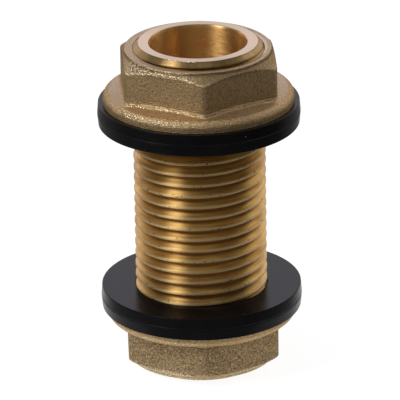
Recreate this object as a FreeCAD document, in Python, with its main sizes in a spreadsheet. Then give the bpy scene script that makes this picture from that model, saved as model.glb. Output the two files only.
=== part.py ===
import FreeCAD, Part
import os
import Sketcher

# Tank connector: a threaded brass tube that passes through a tank wall, with a
# flanged nut and a rubber washer to clamp on each side of the wall.
# Millimetres; +Z runs up the tube and the origin is the middle of its lower end.

doc = FreeCAD.newDocument("tank_connector")
sheet = doc.addObject("Spreadsheet::Sheet", "dims")

# Sizes that can be set alone. The tube carries the half inch parallel pipe thread,
# so its outside diameter is the real measure that the other sizes were scaled from.
sizes = [
    ("barrel_length", 53.5),
    ("bore_dia", 15.4),
    ("bore_edge", 0.3),
    ("thread_major", 20.8),
    ("end_land_dia", 18.7),
    ("running_clearance", 0.25),
    ("barrel_proud", 0.75),
    ("nut_height", 8.9),
    ("hex_flats", 23.7),
    ("hex_corner_round", 1.5),
    ("nut_face_dia", 23),
    ("nut_face_step", 0.7),
    ("corner_slope", 28),
    ("flange_dia", 30),
    ("flange_side", 1.35),
    ("flange_edge", 0.4),
    ("flange_slope", 9.5),
    ("washer_dia", 31.8),
    ("washer_thick", 3.5),
    ("washer_draft", 5.5),
    ("washer_edge", 0.15),
    ("upper_hex_turn", 3.5),
    ("lower_hex_turn", 1.6),
]

# Sizes that follow from the ones above.
derived = [
    ("end_chamfer", "(thread_major - end_land_dia) / 2"),
    ("running_bore", "thread_major + 2 * running_clearance"),
    ("lower_nut_face", "barrel_proud + nut_height"),
    ("upper_nut_face", "barrel_length - lower_nut_face"),
    ("upper_washer_base", "upper_nut_face - washer_thick"),
]

for row, (alias, value) in enumerate(sizes, 1):
    sheet.set("A%d" % row, alias)
    sheet.set("B%d" % row, str(value))
    sheet.setAlias("B%d" % row, alias)
for row, (alias, formula) in enumerate(derived, len(sizes) + 1):
    sheet.set("A%d" % row, alias)
    sheet.set("B%d" % row, "=" + formula)
    sheet.setAlias("B%d" % row, alias)
doc.recompute()


def cell(alias):
    """The present value of a cell, as a plain number."""
    return float(getattr(sheet, alias))


def with_sheet(formula):
    """A formula in cell names, with each name pointed at the sheet."""
    words = [alias for alias, _ in sizes + derived]
    parts = [("dims." + word if word in words else word) for word in formula.split()]
    return " ".join(parts)


def value_of(formula):
    """What a formula in cell names comes to now."""
    return float(sheet.evalExpression(with_sheet(formula)))


def half_section(body, name, corners):
    """A closed straight-sided section on the XZ plane; each corner is a radius and a height formula."""
    plane = [feature for feature in body.Origin.OriginFeatures if feature.Role == "XZ_Plane"][0]
    sketch = body.newObject("Sketcher::SketchObject", name)
    sketch.AttachmentSupport = [(plane, "")]
    sketch.MapMode = "FlatFace"
    # The first drawing is the true shape, so that the solver keeps to it.
    drawn = [FreeCAD.Vector(value_of(radius), value_of(height), 0) for radius, height in corners]
    count = len(corners)
    for number in range(count):
        sketch.addGeometry(Part.LineSegment(drawn[number], drawn[(number + 1) % count]), False)
    for number in range(count):
        sketch.addConstraint(Sketcher.Constraint("Coincident", number, 2, (number + 1) % count, 1))
    for number, (radius, height) in enumerate(corners):
        for kind, axis, formula, value in (
            ("DistanceX", -2, radius, drawn[number].x),
            ("DistanceY", -1, height, drawn[number].y),
        ):
            if formula == "0":
                sketch.addConstraint(Sketcher.Constraint("PointOnObject", number, 1, axis))
                continue
            place = sketch.addConstraint(Sketcher.Constraint(kind, -1, 1, number, 1, value))
            sketch.renameConstraint(place, "%s_%d" % (kind, number))
            sketch.setExpression("Constraints.%s_%d" % (kind, number), with_sheet(formula))
    return sketch


def turned(body, kind, name, corners):
    """A half section turned once about the Z axis, added (Revolution) or cut away (Groove)."""
    sketch = half_section(body, name + "_section", corners)
    before = body.Shape.Volume if not body.Shape.isNull() else 0
    feature = body.newObject("PartDesign::" + kind, name)
    feature.Profile = sketch
    feature.ReferenceAxis = (sketch, ["V_Axis"])
    feature.Angle = 360
    sketch.Visibility = False
    body.Tip = feature
    doc.recompute()
    change = feature.Shape.Volume - before
    if (change > 0) != (kind == "Revolution"):
        raise RuntimeError(name + " of " + body.Name + " changes nothing")
    return feature


def make_barrel():
    """The tube at its thread's outside diameter, with chamfered ends and a broken edge at each mouth."""
    body = doc.addObject("PartDesign::Body", "threaded_barrel")
    turned(body, "Revolution", "tube", [
        ("bore_dia / 2 + bore_edge", "0"),
        ("end_land_dia / 2", "0"),
        ("thread_major / 2", "end_chamfer"),
        ("thread_major / 2", "barrel_length - end_chamfer"),
        ("end_land_dia / 2", "barrel_length"),
        ("bore_dia / 2 + bore_edge", "barrel_length"),
        ("bore_dia / 2", "barrel_length - bore_edge"),
        ("bore_dia / 2", "bore_edge"),
    ])
    return body


def make_nut(name):
    """The flanged nut, standing on its flange face with the hexagon up and two flats across X."""
    body = doc.addObject("PartDesign::Body", name)
    prism = body.newObject("PartDesign::AdditivePrism", "hexagon")
    prism.Polygon = 6
    prism.setExpression("Circumradius", "dims.hex_flats / 2 / cos(30deg)")
    prism.setExpression("Height", "dims.nut_height")
    doc.recompute()
    upright = []
    for number, edge in enumerate(prism.Shape.Edges, 1):
        rise = edge.Vertexes[1].Point.z - edge.Vertexes[0].Point.z
        if abs(rise) > cell("nut_height") / 2:
            upright.append("Edge%d" % number)
    corners = body.newObject("PartDesign::Fillet", "hexagon_corners")
    corners.Base = (prism, upright)
    corners.Radius = cell("hex_corner_round")
    corners.setExpression("Radius", "dims.hex_corner_round")
    body.Tip = corners
    doc.recompute()

    # The flange falls gently from the hexagon to a rim with a broken edge.
    fall = "tan( flange_slope * 1deg )"
    turned(body, "Revolution", "flange", [
        ("running_bore / 2", "0"),
        ("flange_dia / 2", "0"),
        ("flange_dia / 2", "flange_side"),
        ("flange_dia / 2 - flange_edge", "flange_side + flange_edge"),
        ("running_bore / 2",
         "flange_side + flange_edge + ( flange_dia / 2 - flange_edge - running_bore / 2 ) * " + fall),
    ])

    # A step leaves a round end face on the hexagon, and a cone falls from its foot over the corners.
    foot = "nut_height - nut_face_step"
    turned(body, "Groove", "corner_cone", [
        ("nut_face_dia / 2", foot),
        ("flange_dia / 2", foot + " - ( flange_dia - nut_face_dia ) / 2 * tan( corner_slope * 1deg )"),
        ("flange_dia / 2", "nut_height + flange_side"),
        ("nut_face_dia / 2", "nut_height + flange_side"),
    ])

    # The hole clears the thread's crests, where the real nut has its own thread.
    turned(body, "Groove", "running_hole", [
        ("0", "0"),
        ("running_bore / 2", "0"),
        ("running_bore / 2", "nut_height"),
        ("0", "nut_height"),
    ])
    return body


def make_washer(name):
    """The rubber washer, widest at the mould's parting line half way up its rim."""
    body = doc.addObject("PartDesign::Body", name)
    rim = "washer_dia / 2 - ( washer_thick / 2 - washer_edge ) * tan( washer_draft * 1deg )"
    turned(body, "Revolution", "ring", [
        ("running_bore / 2", "0"),
        (rim + " - washer_edge", "0"),
        (rim, "washer_edge"),
        ("washer_dia / 2", "washer_thick / 2"),
        (rim, "washer_thick - washer_edge"),
        (rim + " - washer_edge", "washer_thick"),
        ("running_bore / 2", "washer_thick"),
    ])
    return body


def stand(body, height, axis, angle):
    """Place a finished piece on the tube's line at the height that a cell gives, turned about an axis."""
    body.Placement = FreeCAD.Placement(FreeCAD.Vector(0, 0, cell(height)), FreeCAD.Rotation(axis, angle))
    body.setExpression("Placement.Base.z", "dims." + height)


barrel = make_barrel()
lower_nut = make_nut("lower_flanged_nut")
upper_nut = make_nut("upper_flanged_nut")
lower_washer = make_washer("lower_washer")
upper_washer = make_washer("upper_washer")

# A corner of each hexagon is turned to face -Y, and then a few degrees on. The lower
# nut is turned over about a level axis, which gives it its own turn at the same time.
along = FreeCAD.Vector(1, 0, 0)
up = FreeCAD.Vector(0, 0, 1)
corner_front = 90
half_turn = 180
over = FreeCAD.Rotation(up, (corner_front + cell("lower_hex_turn")) / 2).multVec(along)
stand(upper_nut, "upper_nut_face", up, corner_front + cell("upper_hex_turn"))
stand(lower_nut, "lower_nut_face", over, half_turn)
stand(lower_washer, "lower_nut_face", up, 0)
stand(upper_washer, "upper_washer_base", up, 0)
doc.recompute()

for thing in doc.Objects:
    if "Invalid" in thing.State or "Error" in thing.State:
        raise RuntimeError("not built: " + thing.Name)
os.makedirs("parts", exist_ok=True)
for piece in (barrel, lower_nut, upper_nut, lower_washer, upper_washer):
    piece.Label = piece.Name
    if piece.Shape.isNull() or not piece.Shape.isValid() or len(piece.Shape.Solids) != 1:
        raise RuntimeError("bad solid: " + piece.Name)
    piece.Shape.exportStep("parts/" + piece.Label + ".step")
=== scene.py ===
import math

import bpy
import numpy as np
from mathutils import Matrix, Vector


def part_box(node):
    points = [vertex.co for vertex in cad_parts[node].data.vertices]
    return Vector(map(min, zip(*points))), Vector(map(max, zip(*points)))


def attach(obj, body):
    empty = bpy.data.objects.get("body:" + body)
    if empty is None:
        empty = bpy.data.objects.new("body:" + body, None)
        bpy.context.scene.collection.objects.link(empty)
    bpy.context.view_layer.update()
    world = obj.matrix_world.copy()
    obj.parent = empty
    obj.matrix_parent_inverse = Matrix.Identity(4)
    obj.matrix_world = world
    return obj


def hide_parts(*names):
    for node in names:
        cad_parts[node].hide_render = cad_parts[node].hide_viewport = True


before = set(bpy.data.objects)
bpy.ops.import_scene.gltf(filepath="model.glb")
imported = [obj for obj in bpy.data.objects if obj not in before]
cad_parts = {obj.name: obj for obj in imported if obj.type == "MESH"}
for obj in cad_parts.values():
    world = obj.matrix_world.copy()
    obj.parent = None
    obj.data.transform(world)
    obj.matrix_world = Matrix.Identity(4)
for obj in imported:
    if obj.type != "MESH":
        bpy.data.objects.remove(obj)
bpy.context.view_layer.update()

# The tube: a length of brass bar, faced and chamfered at both ends, bored right through
# and cut over its whole outside with a right-hand half inch pipe thread. The cut leaves
# small torn spots along the crests, and the tool leaves fine rings on every turned face.
MM = 0.001
tube_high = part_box("threaded_barrel")[1]
tube_end = tube_high.z
tube_middle = tube_end / 2
crest_radius = tube_high.x
land_radius = 9.35 * MM
land_fall = 0.10 * MM
chamfer_radius = 9.38 * MM
chamfer_fall = land_fall + crest_radius - chamfer_radius
bore_radius = 7.7 * MM
bore_edge = 0.12 * MM
pitch = 1.814 * MM
nominal_radius = 20.955 / 2 * MM
root_radius = 9.3 * MM
flank_angle = math.radians(27.5)
thread_round = 0.137329 * pitch
crest_phase = 0.65
run_out_slope = 3
tube_sides = 120
thread_rows = 760
land_rows = 6
chamfer_rows = 9
bore_rows = 16

ring_size = 0.12 * MM
ring_stretch = (30, 30, 1)
line_size = 0.4 * MM
line_stretch = (25, 25, 1)
chatter_size = 0.18 * MM
chatter_stretch = (8, 8, 1)
torn_size = 0.38 * MM
torn_stretch = (1.8, 1.8, 1)
streak_size = 0.09
gold_cloud_size = 2.5 * MM
gold_light = (0.87, 0.58, 0.20, 1)
gold_deep = (0.80, 0.515, 0.165, 1)
line_brown = (0.56, 0.32, 0.09, 1)
# Painted shade in the thread's roots.
root_shade_brown = (0.26, 0.10, 0.02, 1)
# A painted highlight on the thread's crests.
crest_highlight_straw = (0.94, 0.71, 0.38, 1)
bore_orange = (0.86, 0.52, 0.185, 1)
# The chamfers' colours, darkened as painted shade.
chamfer_shade_light = (0.52, 0.34, 0.13, 1)
chamfer_shade_deep = (0.42, 0.27, 0.10, 1)
# Painted shade on the short steep wall between land and chamfer.
corner_shade_dark = (0.16, 0.11, 0.05, 1)
face_pale = (0.68, 0.54, 0.40, 1)
torn_dark = (0.07, 0.04, 0.02, 1)
turned_glint = (0.75, 0.68, 0.62, 1)


def thread_radius(angle, height):
    """Radius of the thread at an angle and a height: straight flanks between round crests and roots.

    The crests lie on a right-hand helix that climbs one pitch to a turn. The distance along
    the axis from the nearest crest gives the depth: a crest arc, a straight flank, a root arc.
    """
    turns = height / pitch - angle / (2 * np.pi) - crest_phase
    away = np.abs(turns - np.round(turns)) * pitch
    to_root = pitch / 2 - away
    arc_run = thread_round * math.cos(flank_angle)
    arc_drop = thread_round * (1 - math.sin(flank_angle))
    flank = arc_drop + (away - arc_run) / math.tan(flank_angle)
    depth = 2 * arc_drop + (pitch / 2 - 2 * arc_run) / math.tan(flank_angle)
    crest_arc = thread_round - np.sqrt(np.clip(thread_round ** 2 - away ** 2, 0, None))
    root_arc = depth - thread_round + np.sqrt(np.clip(thread_round ** 2 - to_root ** 2, 0, None))
    below = np.where(away < arc_run, crest_arc, np.where(to_root < arc_run, root_arc, flank))
    return nominal_radius - below


def closed_shell(name, angle, radius, height, edge=None):
    """A mesh from a section carried round the tube's line, closed round the line and along the section.

    radius and height are grids of [angle, place along the section], and a section that runs
    counter-clockwise, seen with the line on its left, gives faces that point outwards. edge is
    a grid too: 1 on an outer edge, -1 in an inner corner, stored as a point attribute. A
    second attribute, facing_up, is the inward share of the section's run past each point.
    """
    points = np.stack([radius * np.cos(angle), radius * np.sin(angle), height], axis=-1)
    around, along = radius.shape
    index = np.arange(around * along).reshape(around, along)
    beside = np.roll(index, -1, axis=0)
    faces = np.stack([index, beside, np.roll(beside, -1, axis=1), np.roll(index, -1, axis=1)], axis=-1)
    mesh = bpy.data.meshes.new(name)
    mesh.from_pydata(points.reshape(-1, 3).tolist(), [], faces.reshape(-1, 4).tolist())
    mesh.shade_smooth()
    inward = np.roll(radius, 1, axis=1) - np.roll(radius, -1, axis=1)
    climb = np.roll(height, 1, axis=1) - np.roll(height, -1, axis=1)
    grids = {"facing_up": inward / np.hypot(inward, climb)}
    if edge is not None:
        grids["edge"] = edge
    for title, grid in grids.items():
        mesh.attributes.new(title, "FLOAT", "POINT").data.foreach_set("value", grid.reshape(-1))
    piece = bpy.data.objects.new(name, mesh)
    bpy.context.scene.collection.objects.link(piece)
    return piece


def held_run(start, end, count):
    """Places from start to end that crowd towards both ends, so that smooth shading keeps edges crisp.

    A place's share of the way is half of one minus the cosine of an angle that grows evenly to pi.
    """
    share = (1 - np.cos(np.linspace(0, np.pi, count))) / 2
    return start + (end - start) * share


def threaded_tube():
    """The tube's closed section, with the thread on its outer run.

    The outer radius is the smaller of the thread's and the blank's. The blank falls steeply
    from each end's land over a short wall, then at 45 degrees out to the crests. In the
    chamfers the thread runs out: its radius grows by a multiple of the way past their start.
    """
    angle = np.linspace(0, 2 * np.pi, tube_sides, endpoint=False)[:, None]
    across = np.ones_like(angle)
    short_wall = held_run(0, land_fall, land_rows)
    near_end = np.concatenate([short_wall, held_run(land_fall, chamfer_fall, chamfer_rows)[1:]])
    thread_run = np.linspace(chamfer_fall, tube_end - chamfer_fall, thread_rows)[1:-1]
    outer_height = np.concatenate([near_end, thread_run, tube_end - near_end[::-1]])[None, :]
    from_end = np.minimum(outer_height, tube_end - outer_height)
    blank_falls = [0, land_fall, chamfer_fall]
    blank = np.interp(from_end, blank_falls, [land_radius, chamfer_radius, crest_radius])
    run_out = run_out_slope * np.clip(chamfer_fall - from_end, 0, None)
    outer = np.minimum(thread_radius(angle, outer_height) + run_out, blank)
    land = held_run(land_radius, bore_radius + bore_edge, land_rows)[1:]
    bore = held_run(tube_end - bore_edge, bore_edge, bore_rows)
    radius = np.concatenate([land, np.full(len(bore), bore_radius), land[::-1]])
    height = np.concatenate([np.full(len(land), tube_end), bore, np.zeros(len(land))])
    return closed_shell(
        "threaded_tube",
        angle,
        np.concatenate([outer, across * radius], axis=1),
        np.concatenate([across * outer_height, across * height], axis=1),
    )


class Flow:
    """A shader output that takes part in Python sums: each operator on it adds one Math node."""

    def __init__(self, tree, socket=None):
        self.tree = tree
        self.socket = socket

    def fill(self, node, sockets):
        """Gives each named socket of a node its value or its link."""
        for name, value in sockets.items():
            if isinstance(value, Flow):
                self.tree.links.new(value.socket, node.inputs[name])
            else:
                node.inputs[name].default_value = value

    def node(self, kind, settings, sockets, output=0):
        """Adds a node, sets its settings, fills its sockets and gives one of its outputs."""
        node = self.tree.nodes.new(kind)
        for name, value in settings.items():
            setattr(node, name, value)
        self.fill(node, sockets)
        return Flow(self.tree, node.outputs[output])

    def math(self, operation, first, second=0.0):
        """One Math node on two values."""
        return self.node("ShaderNodeMath", {"operation": operation}, {0: first, 1: second})

    def __add__(self, other):
        return self.math("ADD", self, other)

    __radd__ = __add__

    def __sub__(self, other):
        return self.math("SUBTRACT", self, other)

    def __rsub__(self, other):
        return self.math("SUBTRACT", other, self)

    def __mul__(self, other):
        return self.math("MULTIPLY", self, other)

    __rmul__ = __mul__

    def __abs__(self):
        return self.math("ABSOLUTE", self)

    def vector(self, operation, first, second, output=0):
        """One Vector Math node on two vectors."""
        return self.node("ShaderNodeVectorMath", {"operation": operation}, {0: first, 1: second}, output)

    def along(self, axis):
        """This vector's share along one axis, X, Y or Z."""
        return self.node("ShaderNodeSeparateXYZ", {}, {0: self}, axis)

    def step(self, low, high):
        """0 below low and 1 above high, with a smooth rise between."""
        return self.node("ShaderNodeMapRange", {"interpolation_type": "SMOOTHSTEP"},
                         {"Value": self, "From Min": low, "From Max": high})

    def mix(self, first, second):
        """A colour that goes from the first to the second as this value goes from 0 to 1."""
        return self.node("ShaderNodeMix", {"data_type": "RGBA"}, {0: self, 6: first, 7: second}, 2)

    def noise(self, place, size, detail=2.0, stretch=(1, 1, 1), roughness=0.5):
        """Noise with lumps of about this size in metres, stretched by a factor along each axis."""
        scaled = self.vector("MULTIPLY", place, [1 / (size * factor) for factor in stretch])
        return self.node("ShaderNodeTexNoise", {},
                         {"Vector": scaled, "Scale": 1.0, "Detail": detail, "Roughness": roughness})

    def attribute(self, name):
        """The value of a point attribute of the mesh."""
        return self.node("ShaderNodeAttribute", {"attribute_name": name}, {}, "Fac")

    def bump(self, relief, strength, distance):
        """A normal tilted by a relief, which is counted in steps of a distance in metres."""
        return self.node("ShaderNodeBump", {},
                         {"Strength": strength, "Distance": distance, "Height": relief})

    def round_z(self, place, centre=(0, 0, 0)):
        """A place seen from an upright line through the centre: distance, height and direction."""
        shifted = self.vector("SUBTRACT", place, centre)
        level = self.vector("MULTIPLY", shifted, (1, 1, 0))
        distance = self.node("ShaderNodeVectorMath", {"operation": "LENGTH"}, {0: level}, "Value")
        direction = self.node("ShaderNodeVectorMath", {"operation": "NORMALIZE"}, {0: level})
        return distance, shifted.along("Z"), direction


def new_finish(name):
    """A new material: its Principled shader, a Flow on its tree, and the Object coordinates."""
    material = bpy.data.materials.new(name)
    material.use_nodes = True
    shader = material.node_tree.nodes["Principled BSDF"]
    flow = Flow(material.node_tree)
    place = flow.node("ShaderNodeTexCoord", {}, {}, "Object")
    return material, shader, flow, place


def turned_brass():
    """Golden brass, with tool rings that draw each highlight out along the tube.

    The thread has darker tool lines along its helix, roots painted brown as shade, crests painted
    straw-coloured as a highlight, and small torn spots. The bore is more orange and uneven where
    the tool has chattered, the chamfers and the short wall above each are painted darker as shade,
    and the faced ends are pale and a little pink.
    """
    material, shader, flow, place = new_finish("turned_brass")
    radius, height, direction = flow.round_z(place)
    from_end = tube_middle - abs(height - tube_middle)
    across = place.along("X")
    deep = place.along("Y")
    climb = flow.math("ARCTAN2", across, 0 - deep) * (pitch / (2 * math.pi))
    helix = flow.node("ShaderNodeCombineXYZ", {}, {"X": across, "Y": deep, "Z": height - climb})
    rings = flow.noise(place, ring_size, detail=3.0, stretch=ring_stretch)
    lines = flow.noise(helix, line_size, detail=3.0, stretch=line_stretch)
    chatter = flow.noise(place, chatter_size, detail=1.0, stretch=chatter_stretch)
    streaks = flow.noise(direction, streak_size, detail=3.0)
    clouds = flow.noise(place, gold_cloud_size, detail=3.0)
    specks = flow.noise(place, torn_size, stretch=torn_stretch)

    in_bore = 1 - radius.step(bore_radius + 0.02 * MM, bore_radius + 0.1 * MM)
    on_face = 1 - from_end.step(0.02 * MM, 0.06 * MM)
    in_thread = radius.step(root_radius - 0.2 * MM, root_radius) * (1 - on_face)
    root_shade = in_thread * (1 - radius.step(root_radius, root_radius + 0.35 * MM))
    on_crest = in_thread * radius.step(crest_radius - 0.1 * MM, crest_radius - 0.03 * MM)
    by_end = 1 - from_end.step(chamfer_fall + 0.08 * MM, chamfer_fall + 0.18 * MM)
    on_shoulder = by_end * (1 - on_face) * radius.step(root_radius - 0.1 * MM, root_radius)
    on_corner = on_shoulder * (1 - radius.step(chamfer_radius, chamfer_radius + 0.06 * MM))
    torn = specks.step(0.64, 0.70) * radius.step(crest_radius - 0.25 * MM, crest_radius - 0.05 * MM)

    gold = clouds.step(0.3, 0.7).mix(gold_light, gold_deep)
    lined = (lines.step(0.45, 0.62) * in_thread * 0.8).mix(gold, line_brown)
    # The roots are painted brown: painted shade in the grooves.
    root_shaded = (root_shade * 0.7).mix(lined, root_shade_brown)
    # The crests are painted pale straw: a painted highlight.
    crest_highlighted = (on_crest * 0.65).mix(root_shaded, crest_highlight_straw)
    bored = in_bore.mix(crest_highlighted, bore_orange)
    # The chamfers are painted darker as shade, with a streaked tone round the tube.
    chamfer_shaded = streaks.step(0.35, 0.65).mix(chamfer_shade_light, chamfer_shade_deep)
    shouldered = on_shoulder.mix(bored, chamfer_shaded)
    # The short steep wall above each chamfer is painted dark: painted shade.
    corner_shaded = (on_corner * 0.6).mix(shouldered, corner_shade_dark)
    faced = on_face.mix(corner_shaded, face_pale)

    roughness = 0.34 + rings * 0.1 + in_thread * 0.06 + on_crest * 0.12 + torn * 0.2 - on_face * 0.16
    bore_roughness = chatter.step(0.35, 0.65) * 0.24 - 0.02
    relief = rings * (1 + in_thread) + in_thread * lines * 9.0 - torn * 2.0
    end_relief = in_bore * chatter * 1.3 + on_shoulder * streaks
    flow.fill(shader, {
        "Base Color": (torn * 0.85).mix(faced, torn_dark),
        "Metallic": 1.0,
        "Roughness": roughness + in_bore * bore_roughness,
        "Specular Tint": turned_glint,
        "Coat Weight": 0.35 + in_bore * 0.65,
        "Coat Roughness": 0.25,
        "Anisotropic": 0.9,
        "Anisotropic Rotation": 0.25,
        "Normal": flow.bump(relief + end_relief, strength=0.35, distance=0.03 * MM),
    })
    return material


tube = threaded_tube()
tube.data.materials.append(turned_brass())
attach(tube, "barrel")
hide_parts("threaded_barrel")

# The two flanged nuts: one sand casting used twice, the lower one turned over. Each is shot
# blasted, faced a little out of square to a low round step on its hexagon, spot faced a
# little off centre and tapped, so that only its mouth and thread are bright.
nut_low, nut_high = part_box("upper_flanged_nut")
lower_nut_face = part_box("lower_flanged_nut")[1].z
upper_nut_face = nut_low.z
nut_height = nut_high.z - nut_low.z
lower_hex_turn = math.radians(1.6)
upper_hex_turn = math.radians(3.5)
half_flats = 11.85 * MM
corner_round = 1.5 * MM
flange_radius = nut_high.x
flange_top = 1.70 * MM
flange_fall = math.tan(math.radians(9.5))
seat_radius = 10.85 * MM
seat_edge_round = 0.08 * MM
rim_round = 1.3 * MM
foot_round = 0.5 * MM
cone_round = 0.5 * MM
corner_fall = math.tan(math.radians(28))
step_radius = 11.5 * MM
step_height = 0.7 * MM
step_foot = tube_end - nut_high.z + step_height
step_round_mean = 0.22 * MM
step_round_swing = 0.13 * MM
step_softest = math.radians(20)
step_lip_share = 0.7
face_fall = 0.3 * MM
mouth_radius = 10.57 * MM
mouth_shift = 0.36 * MM
mouth_edge_round = 0.03 * MM
spot_radius = 10.42 * MM
spot_lip = 0.05 * MM
spot_fall = 0.12 * MM
tapping_clearance = 0.06 * MM
nut_sides = 420
hole_rows = 80

grain_size = 0.32 * MM
lump_size = 1.3 * MM
tan_cloud_size = 5.0 * MM
spark_size = 0.2 * MM
# The side towards the left lamp, where the edges get a painted highlight.
lit_side = (-0.62, -0.79, 0)
tan_light = (0.68, 0.465, 0.235, 1)
tan_deep = (0.61, 0.405, 0.195, 1)
# Painted shade: the lower nut's hexagon, under its flange, is browner.
shaded_brown_light = (0.38, 0.265, 0.135, 1)
shaded_brown_deep = (0.32, 0.215, 0.10, 1)
pit_brown = (0.20, 0.13, 0.06, 1)
pit_dark = (0.09, 0.06, 0.03, 1)
grain_pale = (0.74, 0.56, 0.34, 1)
# Painted shade in the inner corner at the foot of the step.
step_foot_shade_dark = (0.10, 0.07, 0.04, 1)
crust_brown = (0.42, 0.31, 0.18, 1)
# The crust's pale specks are painted glints.
crust_glint_pale = (0.98, 0.84, 0.62, 1)
# Painted shade on the side away from the left lamp.
unlit_side_shade_brown = (0.22, 0.15, 0.08, 1)
sand_pale = (0.85, 0.67, 0.42, 1)
# Golden edges: partly wear, partly painted highlight.
rubbed_gold_glint = (0.93, 0.73, 0.44, 1)
# A painted sheen on level faces.
level_sheen_pale = (0.72, 0.60, 0.47, 1)
shade_dark = (0.12, 0.08, 0.04, 1)
mouth_pale = (0.68, 0.53, 0.39, 1)
cast_glint = (0.48, 0.41, 0.33, 1)


def hexagon_radius(angle):
    """Radius of a hexagon with a flat facing angle 0 and round corners.

    On a flat it is half the width over the cosine of the angle from the flat's middle, and
    at a corner it is the reach to the far side of the corner's circle.
    """
    sixth = np.pi / 3
    from_flat = np.abs(angle - np.round(angle / sixth) * sixth)
    from_corner = sixth / 2 - from_flat
    centre = (half_flats - corner_round) / math.cos(sixth / 2)
    flat_end = math.atan2((half_flats - corner_round) * math.tan(sixth / 2), half_flats)
    arc = np.sqrt(np.clip(corner_round ** 2 - (centre * np.sin(from_corner)) ** 2, 0, None))
    corner = centre * np.cos(from_corner) + arc
    return np.where(from_flat < flat_end, half_flats / np.cos(from_flat), corner)


def rounded_line(corners, rounds, steps=7, fill=9):
    """Points along a line of corners, each inner corner turned into an arc that touches both its sides.

    corners is a list of [angle, 2] places and rounds the radius at each inner corner. An arc
    starts its radius times the tangent of half the turn before the corner, and swings about
    a centre on the inner side. The second result is 1 midway round an outer edge's arc, -1
    midway round an inner corner's and 0 along the straight runs.
    """
    pieces = []
    bends = []
    start = corners[0]
    flat = np.zeros((len(start), fill - 1))
    for before, corner, after, radius in zip(corners, corners[1:], corners[2:], rounds):
        inward = (corner - before) / np.linalg.norm(corner - before, axis=1, keepdims=True)
        onward = (after - corner) / np.linalg.norm(after - corner, axis=1, keepdims=True)
        cross = inward[:, :1] * onward[:, 1:] - inward[:, 1:] * onward[:, :1]
        turn = np.arctan2(np.abs(cross), np.sum(inward * onward, axis=1, keepdims=True))
        side = np.sign(cross) * np.stack([-inward[:, 1], inward[:, 0]], axis=1)
        radius = radius * np.ones_like(turn)
        touch = corner - inward * radius * np.tan(turn / 2)
        share = np.linspace(0, 1, steps)
        swing = turn * share
        arc = (
            (touch + side * radius)[:, None, :]
            - side[:, None, :] * (radius * np.cos(swing))[:, :, None]
            + inward[:, None, :] * (radius * np.sin(swing))[:, :, None]
        )
        run = held_run(0, 1, fill)[None, :-1, None]
        pieces += [start[:, None, :] * (1 - run) + arc[:, :1, :] * run, arc]
        bends += [flat, np.sign(cross) * np.sin(np.pi * share)[None, :]]
        start = arc[:, -1, :]
    run = held_run(0, 1, fill)[None, 1:, None]
    pieces.append(start[:, None, :] * (1 - run) + corners[-1][:, None, :] * run)
    bends.append(flat)
    return np.concatenate(pieces, axis=1), np.concatenate(bends, axis=1)


def flanged_nut(name, face, way, hex_turn):
    """A nut as one closed section: flange, hexagon, coned corners, step, mouth and tapped hole.

    face is the height of the flange's flat side and way is 1 for a hexagon above it, -1 below.
    The end is faced out of square: it falls with one minus the sine of the angle. The mouth is
    a circle set off along X: its reach at an angle is the shift's share along that angle plus
    the rest of the circle's radius. Inside its lip lies a shallow spot face. The hole is the
    tube's thread a clearance wider, opened at both ends by a 45 degree cone.
    """
    angle = np.linspace(0, 2 * np.pi, nut_sides, endpoint=False)[:, None]
    across = np.ones_like(angle)
    hexagon = hexagon_radius(angle - hex_turn)
    mouth_reach = np.sqrt(mouth_radius ** 2 - (mouth_shift * np.sin(angle)) ** 2)
    mouth = mouth_shift * np.cos(angle) + mouth_reach
    spot = np.minimum(mouth - spot_lip, spot_radius)
    foot = nut_height - step_height
    end = nut_height - face_fall * (1 - np.sin(angle)) / 2
    spot_height = end - spot_fall
    step_round = step_round_mean + step_round_swing * np.cos(angle - step_softest)

    def ring(radius, height):
        """A corner of the section: its radius and its height at every angle."""
        return np.concatenate([across * radius, across * height], axis=1)

    outside, edge = rounded_line(
        [
            ring(seat_radius, 0),
            ring(flange_radius, 0),
            ring(flange_radius, flange_top),
            ring(hexagon, flange_top + (flange_radius - hexagon) * flange_fall),
            ring(hexagon, foot - (hexagon - step_radius) * corner_fall),
            ring(step_radius, foot),
            ring(step_radius, end),
            ring(mouth, end),
            ring(spot, spot_height),
        ],
        [
            seat_edge_round,
            rim_round,
            foot_round,
            cone_round,
            step_round,
            step_round * step_lip_share,
            mouth_edge_round,
        ],
    )
    hole_height = spot_height * np.linspace(1, 0, hole_rows)[None, 1:-1]
    tapped = thread_radius(angle, face + way * hole_height) + tapping_clearance
    opened = np.maximum(spot - (spot_height - hole_height), seat_radius - hole_height)
    hole = np.maximum(tapped, opened)
    radius = np.concatenate([outside[:, :, 0], hole], axis=1)
    height = np.concatenate([outside[:, :, 1], hole_height], axis=1)
    edge = np.concatenate([edge, np.zeros_like(hole)], axis=1)
    if way < 0:
        radius, height, edge = radius[:, ::-1], height[:, ::-1], edge[:, ::-1]
    return closed_shell(name, angle, radius, face + way * height, edge)


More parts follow.
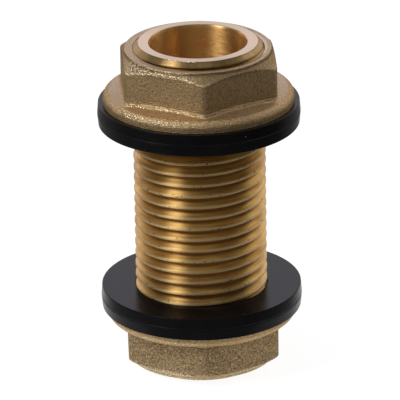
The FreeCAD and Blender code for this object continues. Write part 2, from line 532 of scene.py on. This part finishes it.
def cast_brass():
    """Dull tan brass with a blasted grain of dark pits and pale specks, bright only in its mouth.

    The edges are golden, mostly on the side towards the left lamp: partly wear and partly
    painted highlight. Below the step that side has a coarse crust whose pale specks are painted
    glints. There the other side is painted darker brown as shade, and it has fewer pale specks
    all over, a little painted shade too. The upper nut is painted dark as shade in the inner
    corner at the foot of its step. The lower one's hexagon, under its flange, is painted browner
    as shade and is deeper pitted, and its end is painted golden, partly wear and partly
    highlight. What lies level has a painted pale sheen.
    """
    material, shader, flow, place = new_finish("cast_brass")
    from_mouth, height, direction = flow.round_z(place, (mouth_shift, 0, 0))
    from_end = tube_middle - abs(height - tube_middle)
    to_lit_side = flow.vector("DOT_PRODUCT", direction, lit_side, "Value")
    edge = flow.attribute("edge")
    hollow = 0 - edge
    lying = flow.attribute("facing_up").step(0.9, 0.985)
    grain = flow.noise(place, grain_size, detail=3.0, roughness=0.6)
    lumps = flow.noise(place, lump_size)
    clouds = flow.noise(place, tan_cloud_size).step(0.3, 0.7)
    sparks = flow.noise(place, spark_size, detail=1.0)

    cut = 1 - from_mouth.step(mouth_radius - 0.07 * MM, mouth_radius + 0.01 * MM)
    rough = 1 - cut
    upper = height.step(tube_middle - 1 * MM, tube_middle + 1 * MM)
    hexagon_top = lower_nut_face - flange_top
    # 1 above the lower nut's hexagon, 0 on it, where the brown is painted shade.
    above_lower_hexagon = height.step(hexagon_top - 0.95 * MM, hexagon_top - 0.15 * MM)
    by_step = 1 - from_end.step(step_foot + 0.45 * MM, step_foot + 0.75 * MM)
    below_step = 1 - from_end.step(step_foot + 0.55 * MM, step_foot + 1.05 * MM)
    below_step = below_step * from_end.step(step_foot - 0.45 * MM, step_foot - 0.15 * MM)
    bent = abs(edge).step(0.05, 0.6) * rough
    on_edge = bent * (1 - by_step * hollow.step(0.0, 0.1))
    # Golden edges, mostly on the side towards the lamp: partly wear, partly painted highlight.
    wear_and_glint = on_edge * sparks.step(0.42, 0.58) * (0.2 + to_lit_side.step(0.7, 0.98) * 0.8)
    coarse = below_step * to_lit_side.step(0.75, 0.97) * rough * (1 - bent)
    # The side away from the left lamp, which is painted darker as shade.
    away_from_light = 1 - to_lit_side.step(0.7, 0.95)
    # The inner corner at the foot of the upper nut's step, painted dark as shade.
    step_foot_shade = hollow.step(0.1, 0.9) * by_step * rough * upper
    # The lower nut's end round its step: partly wear, partly painted highlight.
    chipped_and_lit = by_step * (1 - upper) * rough

    # The lower nut's hexagon is painted browner: painted shade under its flange.
    ground = above_lower_hexagon.mix(clouds.mix(shaded_brown_light, shaded_brown_deep), clouds.mix(tan_light, tan_deep))
    pits = (1 - grain.step(0.30, 0.52)) * (0.65 - above_lower_hexagon * 0.2)
    pitted = pits.mix(ground, above_lower_hexagon.mix(pit_dark, pit_brown))
    peaks = grain.step(0.5, 0.68) * (0.65 - above_lower_hexagon * 0.15)
    grained = peaks.mix(pitted, grain_pale)
    # The foot of the step is painted dark: painted shade.
    step_foot_shaded = (step_foot_shade * 0.7).mix(grained, step_foot_shade_dark)
    # A coarse crust with pale specks that are painted glints.
    crust_and_glints = sparks.step(0.45, 0.54).mix(crust_brown, crust_glint_pale)
    crusted_and_glinting = (coarse * 0.7).mix(step_foot_shaded, crust_and_glints)
    # Below the step, the side away from the lamp is painted darker brown: painted shade.
    unlit_side_shaded = (below_step * away_from_light * rough * 0.55).mix(crusted_and_glinting, unlit_side_shade_brown)
    # Pale grain specks, fewer on the side away from the lamp, which paints that side a little darker as
    # shade.
    sandy = (sparks.step(0.5, 0.68) * (0.35 - away_from_light * 0.15)).mix(unlit_side_shaded, sand_pale)
    # Edges and the lower nut's end painted golden: partly wear, partly painted highlight.
    rubbed_and_glinting = (wear_and_glint * (0.8 - upper * 0.2) + chipped_and_lit * 0.5).mix(sandy, rubbed_gold_glint)
    # Level faces are painted paler: a painted sheen.
    level_sheened = (lying * 0.15).mix(rubbed_and_glinting, level_sheen_pale)
    shade = (1 - sparks.step(0.32, 0.5)) * 0.4 * rough * (1 - wear_and_glint)
    shaded = shade.mix(level_sheened, shade_dark)

    cast_relief = (grain + lumps * 0.25) * (2.2 - upper * 1.2)
    spark_relief = sparks * (0.6 + bent * 0.4 + coarse * 1.4)
    flow.fill(shader, {
        "Base Color": cut.mix(shaded, mouth_pale),
        "Metallic": 1.0,
        "Roughness": 0.43 + grain * 0.1 - wear_and_glint * 0.23 - coarse * 0.2 - cut * 0.2,
        "Specular Tint": cast_glint,
        "Coat Weight": 0.18 + lying * 0.82,
        "Coat Roughness": 0.4,
        "Normal": flow.bump((cast_relief + spark_relief) * rough, strength=1.0, distance=0.14 * MM),
    })
    return material


casting = cast_brass()
for name, body, face, way, hex_turn in (
    ("lower_flanged_nut", "lower_nut", lower_nut_face, -1, lower_hex_turn),
    ("upper_flanged_nut", "upper_nut", upper_nut_face, 1, upper_hex_turn),
):
    nut = flanged_nut(name + "_casting", face, way, hex_turn)
    nut.data.materials.append(casting)
    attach(nut, body)
    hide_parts(name)

# The two washers: black rubber, moulded in two halves, so the rim has a slight draft both
# ways and a fine parting line round its middle. Each grips the crests of the thread.
washer_low, washer_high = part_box("lower_washer")
washer_radius = washer_high.x
washer_thick = washer_high.z - washer_low.z
washer_hole = 10.46 * MM
washer_lean = math.tan(math.radians(5))
washer_round = 0.12 * MM
parting_deep = 0.05 * MM
parting_half = 0.12 * MM
parting_round = 0.03 * MM
washer_sides = 256

mottle_size = 0.6 * MM
black_cloud_size = 4.0 * MM
dust_size = 0.45 * MM
black_deep = (0.004, 0.004, 0.0045, 1)
black_light = (0.007, 0.0065, 0.007, 1)
dust_grey = (0.20, 0.19, 0.17, 1)
rubber_glint = (0.96, 0.88, 1.0, 1)


def moulded_washer(name, base):
    """A flat ring with round edges, its rim leaning out from both faces to a fine groove half way up."""
    angle = np.linspace(0, 2 * np.pi, washer_sides, endpoint=False)[:, None]
    across = np.ones_like(angle)
    middle = washer_thick / 2
    face = washer_radius - (middle - parting_half) * washer_lean
    line = [
        (washer_hole, middle),
        (washer_hole, 0),
        (face, 0),
        (washer_radius, middle - parting_half),
        (washer_radius - parting_deep, middle),
        (washer_radius, middle + parting_half),
        (face, washer_thick),
        (washer_hole, washer_thick),
        (washer_hole, middle),
    ]
    corners = [across * np.array(place)[None, :] for place in line]
    rounds = [washer_round] * 2 + [parting_round] * 3 + [washer_round] * 2
    section, _ = rounded_line(corners, rounds)
    return closed_shell(name, angle, section[:, :-1, 0], base + section[:, :-1, 1])


def black_rubber():
    """Smooth black rubber with a faint moulded mottle and a few specks of dust."""
    material, shader, flow, place = new_finish("black_rubber")
    mottle = flow.noise(place, mottle_size, detail=3.0)
    clouds = flow.noise(place, black_cloud_size)
    dust = flow.noise(place, dust_size, detail=1.0).step(0.80, 0.83)
    black = clouds.step(0.3, 0.7).mix(black_deep, black_light)
    flow.fill(shader, {
        "Base Color": dust.mix(black, dust_grey),
        "Specular IOR Level": 0.11,
        "Specular Tint": rubber_glint,
        "Roughness": 0.19 + mottle * 0.12 + dust * 0.4,
        "Normal": flow.bump(mottle, strength=0.12, distance=0.05 * MM),
    })
    return material


rubber = black_rubber()
for name, body in (("lower_washer", "lower_seal"), ("upper_washer", "upper_seal")):
    washer = moulded_washer(name + "_rubber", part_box(name)[0].z)
    washer.data.materials.append(rubber)
    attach(washer, body)
    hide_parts(name)

# The studio: a sheet of white paper on a grey table, in a room that is bright behind the
# part and dim overhead and in front. A soft box stands at the left, a weak one at the right
# and a little behind, and a third above the camera, which has a long lens.
table_half = 3.0
paper_front = -0.0172
paper_half = 0.041
paper_soft = 0.004
pool_radius = 0.035


def grey(share):
    """A grey that gives back this share of the light."""
    return (share, share, share, 1)


paper_white = grey(1)
paper_shaded = grey(0.8)
# Tones of the floor's glow: a painted pool of light near the part and a painted shadow at the right in
# front.
table_lit_pool = grey(0.43)
table_left = grey(0.26)
table_shadowed_right_front = grey(0.08)
table_right_back = grey(0.32)
floor_paint = grey(0.8)
glow_share = 0.7
glow_gain = 0.3
wall_front = grey(0.14)
wall_back = (1.08, 1.05, 1.14, 1)
ceiling_front = grey(0.09)
ceiling_back = grey(0.40)


def seen_by(flow, *kinds):
    """1 for rays of these kinds and 0 for all others."""
    rays = [flow.node("ShaderNodeLightPath", {}, {}, "Is %s Ray" % kind) for kind in kinds]
    return flow.math("MINIMUM", sum(rays), 1.0)


def paper_and_table(flow):
    """The floor's tone at each place: white paper in a strip that runs back from just before the part.

    Beside the strip the table is mid grey near the part, a painted pool of light, and darker
    further off, darkest at the right in front, a painted shadow of the part, and under the tube
    the paper lies in painted shade.
    """
    place = flow.node("ShaderNodeTexCoord", {}, {}, "Object")
    from_part, _, _ = flow.round_z(place)
    side = place.along("X")
    depth = place.along("Y")
    on_paper = depth.step(paper_front - paper_soft, paper_front)
    on_paper = on_paper * (1 - abs(side).step(paper_half, paper_half + paper_soft))
    # Painted light and shade on the table: a pool near the part, the part's shadow at the right in
    # front.
    table_right = depth.step(0.0, 2 * pool_radius).mix(table_shadowed_right_front, table_right_back)
    table_far = side.step(-2 * pool_radius, 0).mix(table_left, table_right)
    table = from_part.step(pool_radius, 3 * pool_radius).mix(table_lit_pool, table_far)
    in_shade = 1 - from_part.step(bore_radius, land_radius)
    return in_shade.mix(on_paper.mix(table, paper_white), paper_shaded)


def pale_floor():
    """Paint that mirrors show as paper and table, and the camera as white with a faint shadow.

    For the camera most of it glows, a little brighter than white, and the rest is plain paint
    that takes the light and the part's shadow. For all other rays it is plain paint.
    """
    material = bpy.data.materials.new("pale_floor")
    material.use_nodes = True
    flow = Flow(material.node_tree)
    pictured = seen_by(flow, "Camera")
    mirrored = seen_by(flow, "Glossy", "Transmission")
    glow = flow.node("ShaderNodeEmission", {},
                     {"Color": paper_and_table(flow), "Strength": 1 + pictured * glow_gain})
    paint = flow.node("ShaderNodeBsdfDiffuse", {}, {"Color": floor_paint})
    glowing = pictured * glow_share + mirrored
    both = flow.node("ShaderNodeMixShader", {}, {0: glowing, 1: paint, 2: glow})
    flow.fill(material.node_tree.nodes["Material Output"], {"Surface": both})
    return material


floor_mesh = bpy.data.meshes.new("floor")
floor_corners = [(-1, -1, 0), (1, -1, 0), (1, 1, 0), (-1, 1, 0)]
floor_mesh.from_pydata((np.array(floor_corners) * table_half).tolist(), [], [(0, 1, 2, 3)])
floor_mesh.materials.append(pale_floor())
floor = bpy.data.objects.new("floor", floor_mesh)
bpy.context.scene.collection.objects.link(floor)

world = bpy.data.worlds.new("studio")
world.use_nodes = True
bpy.context.scene.world = world
room = Flow(world.node_tree)
towards = room.node("ShaderNodeTexCoord", {}, {}, "Generated")
behind = towards.along("Y")
walls = behind.step(0.0, 1.0).mix(wall_front, wall_back)
ceiling = behind.step(-0.3, 0.2).mix(ceiling_front, ceiling_back)
room_tone = towards.along("Z").step(0.42, 0.82).mix(walls, ceiling)
room.fill(world.node_tree.nodes["Background"], {"Color": room_tone, "Strength": 1.0})


def soft_box(name, azimuth, elevation, distance, size, power):
    """A square area light aimed at the part's middle, its azimuth counted to the right of the camera."""
    data = bpy.data.lights.new(name, "AREA")
    data.shape = "SQUARE"
    data.size = size
    data.energy = power
    light = bpy.data.objects.new(name, data)
    turn = math.radians(azimuth)
    lift = math.radians(elevation)
    away = Vector((math.cos(lift) * math.sin(turn), -math.cos(lift) * math.cos(turn), math.sin(lift)))
    light.location = Vector((0, 0, tube_middle)) + away * distance
    light.rotation_euler = (-away).to_track_quat("-Z", "Y").to_euler()
    bpy.context.scene.collection.objects.link(light)


soft_box("left_box", azimuth=-55, elevation=40, distance=0.6, size=0.18, power=1.4)
soft_box("right_box", azimuth=115, elevation=35, distance=0.6, size=0.25, power=0.22)
soft_box("front_box", azimuth=10, elevation=58, distance=0.7, size=0.4, power=0.25)

aim = Vector((-0.00005, 0, 0.0269))
camera_elevation = math.radians(22)
camera_roll = math.radians(0.91)
camera_distance = 0.705
lens_pixels = 4477
picture_pixels = 400
camera_data = bpy.data.cameras.new("camera")
camera_data.sensor_width = 36
camera_data.lens = lens_pixels / picture_pixels * camera_data.sensor_width
camera = bpy.data.objects.new("camera", camera_data)
back = Vector((0, -math.cos(camera_elevation), math.sin(camera_elevation)))
facing = (-back).to_track_quat("-Z", "Y").to_matrix() @ Matrix.Rotation(-camera_roll, 3, "Z")
camera.rotation_euler = facing.to_euler()
camera.location = aim + back * camera_distance
bpy.context.scene.collection.objects.link(camera)
bpy.context.scene.camera = camera
bpy.context.scene.view_settings.view_transform = "Standard"
